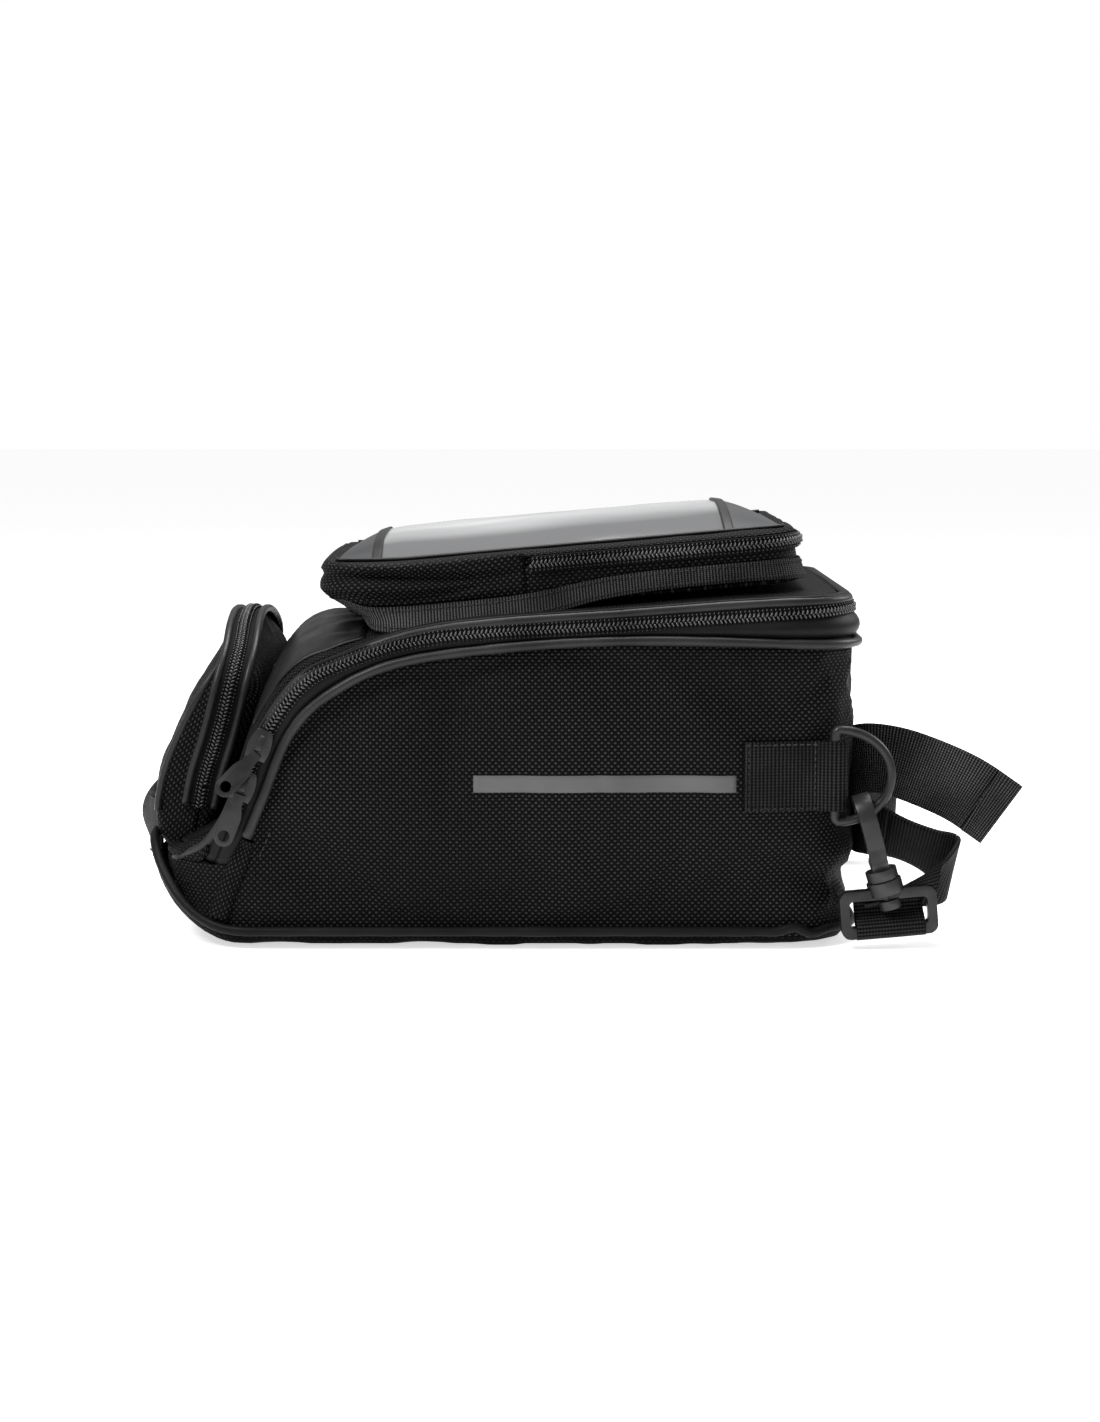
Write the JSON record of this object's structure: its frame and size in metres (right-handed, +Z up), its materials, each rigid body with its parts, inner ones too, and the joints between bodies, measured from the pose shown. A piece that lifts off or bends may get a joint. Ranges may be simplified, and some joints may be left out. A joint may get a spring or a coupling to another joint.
{
  "type": "tank bag",
  "caption": "Strap-mounted motorcycle tank bag with a zipped hinged lid, lift-off map pouch with a clear window, slope pocket and swivel snap hooks.",
  "frame": {"origin": "on the flat underside, in the middle of the bag body", "axes": "+X toward the handlebars, -Y toward the near side, +Z up, away from the fuel tank"},
  "size_m": [0.3881, 0.2256, 0.1765],
  "materials": {
    "woven_fabric": "coarse woven polyester",
    "zip_tape": "fine ribbed tape",
    "coil": "nylon coil",
    "piping": "satin covered cord",
    "webbing": "ribbed webbing",
    "dark_metal": "dark satin paint",
    "stiff_sheet": "moulded plastic",
    "foam": "closed-cell foam",
    "grey_vinyl": "soft grey vinyl",
    "clear_vinyl": "clear flexible sheet",
    "hook_and_loop": "hook-and-loop pile"
  },
  "bodies": {
    "bag": {"base_panel": "woven_fabric", "base_foam": "foam", "base_stiffener": "stiff_sheet", "near_side_panel": "woven_fabric", "far_side_panel": "woven_fabric", "forward_end_panel": "woven_fabric", "rider_end_panel": "woven_fabric", "lower_zip_tape": "zip_tape", "main_coil_lower": "coil", "lower_piping": "piping", "upper_piping": "piping", "strap_keeper": "stiff_sheet", "strap_middle": "webbing", "strap_tail": "webbing", "near_strap_loop": "webbing", "far_strap_loop": "webbing", "near_ring_tab": "webbing", "far_ring_tab": "webbing"},
    "lid": {"upper_zip_tape": "zip_tape", "main_coil_upper": "coil", "lid_piping": "piping", "lid_panel": "woven_fabric", "pocket_shell": "woven_fabric", "pocket_coil_inner": "coil", "grab_handle": "webbing", "near_hook_strip": "hook_and_loop", "far_hook_strip": "hook_and_loop"},
    "map_pouch": {"pouch_floor": "woven_fabric", "pouch_binding": "zip_tape", "pouch_wall": "woven_fabric", "pouch_frame_rear": "woven_fabric", "window_rear": "clear_vinyl", "vinyl_rear": "grey_vinyl", "pouch_coil_lower": "coil", "near_loop_strip": "hook_and_loop", "far_loop_strip": "hook_and_loop"},
    "pouch_flap": {"pouch_frame_front": "woven_fabric", "window_front": "clear_vinyl", "vinyl_front": "grey_vinyl", "pouch_coil_upper": "coil"},
    "pocket_front": {"pocket_flap": "woven_fabric", "pocket_coil_outer": "coil"},
    "upper_slider": {"upper_slider": "dark_metal"},
    "upper_pull": {"upper_pull": "dark_metal"},
    "lower_slider": {"lower_slider": "dark_metal"},
    "lower_pull": {"lower_pull": "dark_metal"},
    "pocket_slider": {"pocket_slider": "dark_metal"},
    "pocket_pull": {"pocket_pull": "dark_metal"},
    "pouch_slider": {"pouch_slider": "dark_metal"},
    "pouch_pull": {"pouch_pull": "dark_metal"},
    "near_ring": {"near_d_ring": "dark_metal"},
    "near_hook": {"near_hook_body": "dark_metal"},
    "near_gate": {"near_hook_gate": "dark_metal"},
    "near_frame": {"near_hook_frame": "dark_metal"},
    "far_ring": {"far_d_ring": "dark_metal"},
    "far_hook": {"far_hook_body": "dark_metal"},
    "far_gate": {"far_hook_gate": "dark_metal"},
    "far_frame": {"far_hook_frame": "dark_metal"}
  },
  "joints": [
    {"name": "lid_open", "type": "hinge", "parent": "bag", "child": "lid", "pos_m": [-0.1458, 0, 0.0362], "axis": [0, -1, 0], "range_deg": [0, 60]},
    {"name": "pouch_lift", "type": "slide", "parent": "lid", "child": "map_pouch", "axis": [-0.0872, 0, 0.9962], "range_m": [0, 0.06]},
    {"name": "pouch_top_open", "type": "hinge", "parent": "map_pouch", "child": "pouch_flap", "pos_m": [0.00714, 0, 0.16398], "axis": [0, -1, 0], "range_deg": [0, 80]},
    {"name": "pocket_front_open", "type": "hinge", "parent": "lid", "child": "pocket_front", "pos_m": [-0.1556, 0, 0.0609], "axis": [0, -1, 0], "range_deg": [0, 50]},
    {"name": "upper_slider_run", "type": "hinge", "parent": "bag", "child": "upper_slider", "pos_m": [-0.05036, 0, 0.06636], "axis": [0, 1, 0], "range_deg": [0, 42]},
    {"name": "lower_slider_run", "type": "slide", "parent": "bag", "child": "lower_slider", "axis": [-0.3746, 0, -0.9272], "range_m": [0, 0.024]},
    {"name": "pocket_slider_run", "type": "slide", "parent": "lid", "child": "pocket_slider", "axis": [0.156, 0, 0.9878], "range_m": [0, 0.022]},
    {"name": "pouch_slider_run", "type": "slide", "parent": "map_pouch", "child": "pouch_slider", "axis": [0.9962, 0, 0.0872], "range_m": [0, 0.08]},
    {"name": "upper_pull_lift", "type": "hinge", "parent": "upper_slider", "child": "upper_pull", "pos_m": [-0.10337, -0.1042, 0.08061], "axis": [-0.7151, 0, 0.699], "range_deg": [0, 110]},
    {"name": "lower_pull_lift", "type": "hinge", "parent": "lower_slider", "child": "lower_pull", "pos_m": [-0.11017, -0.1042, 0.06361], "axis": [-0.9272, 0, 0.3746], "range_deg": [0, 100]},
    {"name": "pocket_pull_lift", "type": "hinge", "parent": "pocket_slider", "child": "pocket_pull", "pos_m": [-0.12995, 0.07125, 0.07085], "axis": [0.9878, 0, -0.156], "range_deg": [0, 120]},
    {"name": "pouch_pull_lift", "type": "hinge", "parent": "pouch_slider", "child": "pouch_pull", "pos_m": [0.01447, 0.0882, 0.1582], "axis": [0.0872, 0, -0.9962], "range_deg": [0, 120]},
    {"name": "near_ring_swing", "type": "hinge", "parent": "bag", "child": "near_ring", "pos_m": [0.136, -0.1023, 0.072], "axis": [0, 0, 1], "range_deg": [-60, 0], "deforming": ["near_strap_loop"]},
    {"name": "near_hook_swing", "type": "hinge", "parent": "near_ring", "child": "near_hook", "pos_m": [0.1475, -0.1023, 0.0558], "axis": [0.9613, 0, 0.2756], "range_deg": [-45, 0], "deforming": ["near_strap_loop"]},
    {"name": "near_gate_press", "type": "hinge", "parent": "near_hook", "child": "near_gate", "pos_m": [0.15235, -0.0947, 0.03888], "axis": [0.9613, 0, 0.2756], "range_deg": [0, 22], "stiffness_Nm_per_rad": 0.02, "springref_deg": -17.19},
    {"name": "near_frame_swivel", "type": "hinge", "parent": "near_hook", "child": "near_frame", "pos_m": [0.1475, -0.1023, 0.0558], "axis": [-0.2756, 0, 0.9613], "range_deg": [-30, 30], "deforming": ["near_strap_loop"]},
    {"name": "far_ring_swing", "type": "hinge", "parent": "bag", "child": "far_ring", "pos_m": [0.136, 0.1023, 0.072], "axis": [0, 0, 1], "range_deg": [0, 60], "deforming": ["far_strap_loop"]},
    {"name": "far_hook_swing", "type": "hinge", "parent": "far_ring", "child": "far_hook", "pos_m": [0.1475, 0.1023, 0.0558], "axis": [0.9613, 0, 0.2756], "range_deg": [0, 45], "deforming": ["far_strap_loop"]},
    {"name": "far_gate_press", "type": "hinge", "parent": "far_hook", "child": "far_gate", "pos_m": [0.15235, 0.0947, 0.03888], "axis": [-0.9613, 0, -0.2756], "range_deg": [0, 22], "stiffness_Nm_per_rad": 0.02, "springref_deg": -17.19},
    {"name": "far_frame_swivel", "type": "hinge", "parent": "far_hook", "child": "far_frame", "pos_m": [0.1475, 0.1023, 0.0558], "axis": [-0.2756, 0, 0.9613], "range_deg": [-30, 30], "deforming": ["far_strap_loop"]}
  ]
}
